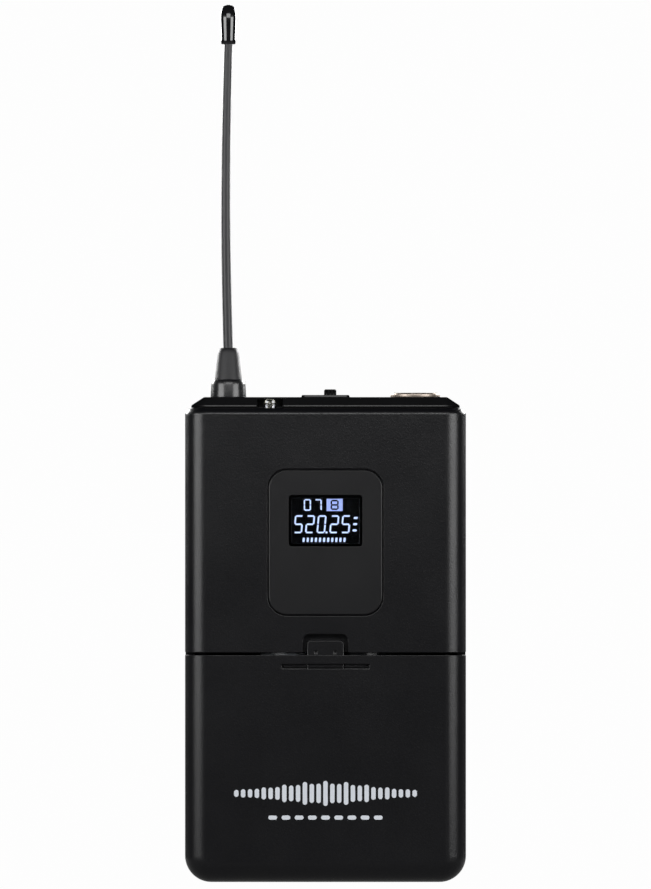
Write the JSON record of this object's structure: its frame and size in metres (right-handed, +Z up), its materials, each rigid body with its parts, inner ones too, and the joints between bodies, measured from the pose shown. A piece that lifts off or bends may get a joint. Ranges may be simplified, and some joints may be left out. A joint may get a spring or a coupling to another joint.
{
  "type": "wireless bodypack transmitter",
  "caption": "Pocket wireless microphone transmitter with whip antenna, small display, power switch, microphone jack, drop-down battery door and sprung belt clip.",
  "frame": {"origin": "middle of the case's underside, on the parting plane of the two shells", "axes": "+Z up along the antenna, +X to the right seen from the display side, +Y to the back (belt clip)"},
  "size_m": [0.064, 0.0308, 0.2002],
  "materials": {
    "case_black": "fine moulded texture",
    "plate_black": "fine moulded texture",
    "bezel_black": "satin",
    "window_clear": "clear",
    "lcd_glass": "gloss",
    "lcd_white": "diffusing",
    "board_green": "solder mask",
    "chip_black": "moulded",
    "can_steel": "plain",
    "cell_sleeve": "printed film",
    "screw_black": "black oxide",
    "screw_plain": "zinc plated",
    "spring_steel": "plain",
    "contact_nickel": "nickel plated",
    "jack_nickel": "nickel plated",
    "pin_gold": "gold flash",
    "clip_black": "satin black coating",
    "rubber_black": "satin",
    "collar_black": "satin",
    "tip_black": "gloss",
    "led_clear": "clear",
    "label_white": "printed film",
    "wire_red": "insulation",
    "wire_black": "insulation",
    "wire_grey": "insulation",
    "switch_steel": "plain"
  },
  "bodies": {
    "case": {"front_shell": "case_black", "rear_shell": "case_black", "top_plate": "plate_black", "hinge_pin": "screw_plain", "case_screws": "screw_black", "frequency_label": "label_white", "display_bezel": "bezel_black", "display_window": "window_clear", "lcd_glass": "lcd_glass", "lcd_backlight": "lcd_white", "lcd_frame": "chip_black", "main_board": "board_green", "board_screws": "screw_plain", "rf_shield": "can_steel", "board_chips": "chip_black", "board_capacitors": "can_steel", "crystal": "can_steel", "battery_tray": "case_black", "battery_left": "cell_sleeve", "battery_right": "cell_sleeve", "battery_springs": "spring_steel", "battery_contacts": "contact_nickel", "battery_lead_red": "wire_red", "battery_lead_black": "wire_black", "switch_body": "switch_steel", "switch_terminals": "contact_nickel", "switch_leads": "wire_grey", "jack_ring": "jack_nickel", "jack_nut": "contact_nickel", "jack_shell": "contact_nickel", "jack_insulator": "chip_black", "jack_pins": "pin_gold", "audio_leads": "wire_grey", "status_led": "led_clear", "led_leads": "contact_nickel", "antenna_stud": "contact_nickel", "antenna_nut": "contact_nickel", "antenna_collar": "collar_black", "antenna_boot": "rubber_black", "antenna_lead": "wire_black", "clip_base": "clip_black", "clip_rivets": "screw_black"},
    "door": {"battery_door": "case_black", "latch_spring": "spring_steel"},
    "latch": {"door_latch": "case_black"},
    "knob": {"switch_knob": "plate_black"},
    "clip": {"clip_arm": "clip_black"},
    "antenna": {"antenna_whip": "rubber_black", "antenna_tip": "tip_black"}
  },
  "joints": [
    {"name": "door_hinge", "type": "hinge", "parent": "case", "child": "door", "pos_m": [0, 0.0086, 0.00215], "axis": [1, 0, 0], "range_deg": [0, 110]},
    {"name": "latch_slide", "type": "slide", "parent": "door", "child": "latch", "axis": [0, 0, 1], "range_m": [-0.0013, 0], "stiffness_N_per_m": 150, "springref_m": 0.001, "deforming": ["latch_spring"]},
    {"name": "switch_slide", "type": "slide", "parent": "case", "child": "knob", "axis": [1, 0, 0], "range_m": [-0.00214, 0]},
    {"name": "clip_flex", "type": "hinge", "parent": "case", "child": "clip", "pos_m": [0, 0.0184, 0.0858], "axis": [1, 0, 0], "range_deg": [0, 8], "stiffness_Nm_per_rad": 0.6, "springref_deg": -2.86},
    {"name": "antenna_flex", "type": "hinge", "parent": "case", "child": "antenna", "pos_m": [-0.0222, 0, 0.1202], "axis": [0, 1, 0], "range_deg": [-25, 25], "stiffness_Nm_per_rad": 0.02, "deforming": ["antenna_boot"]}
  ]
}
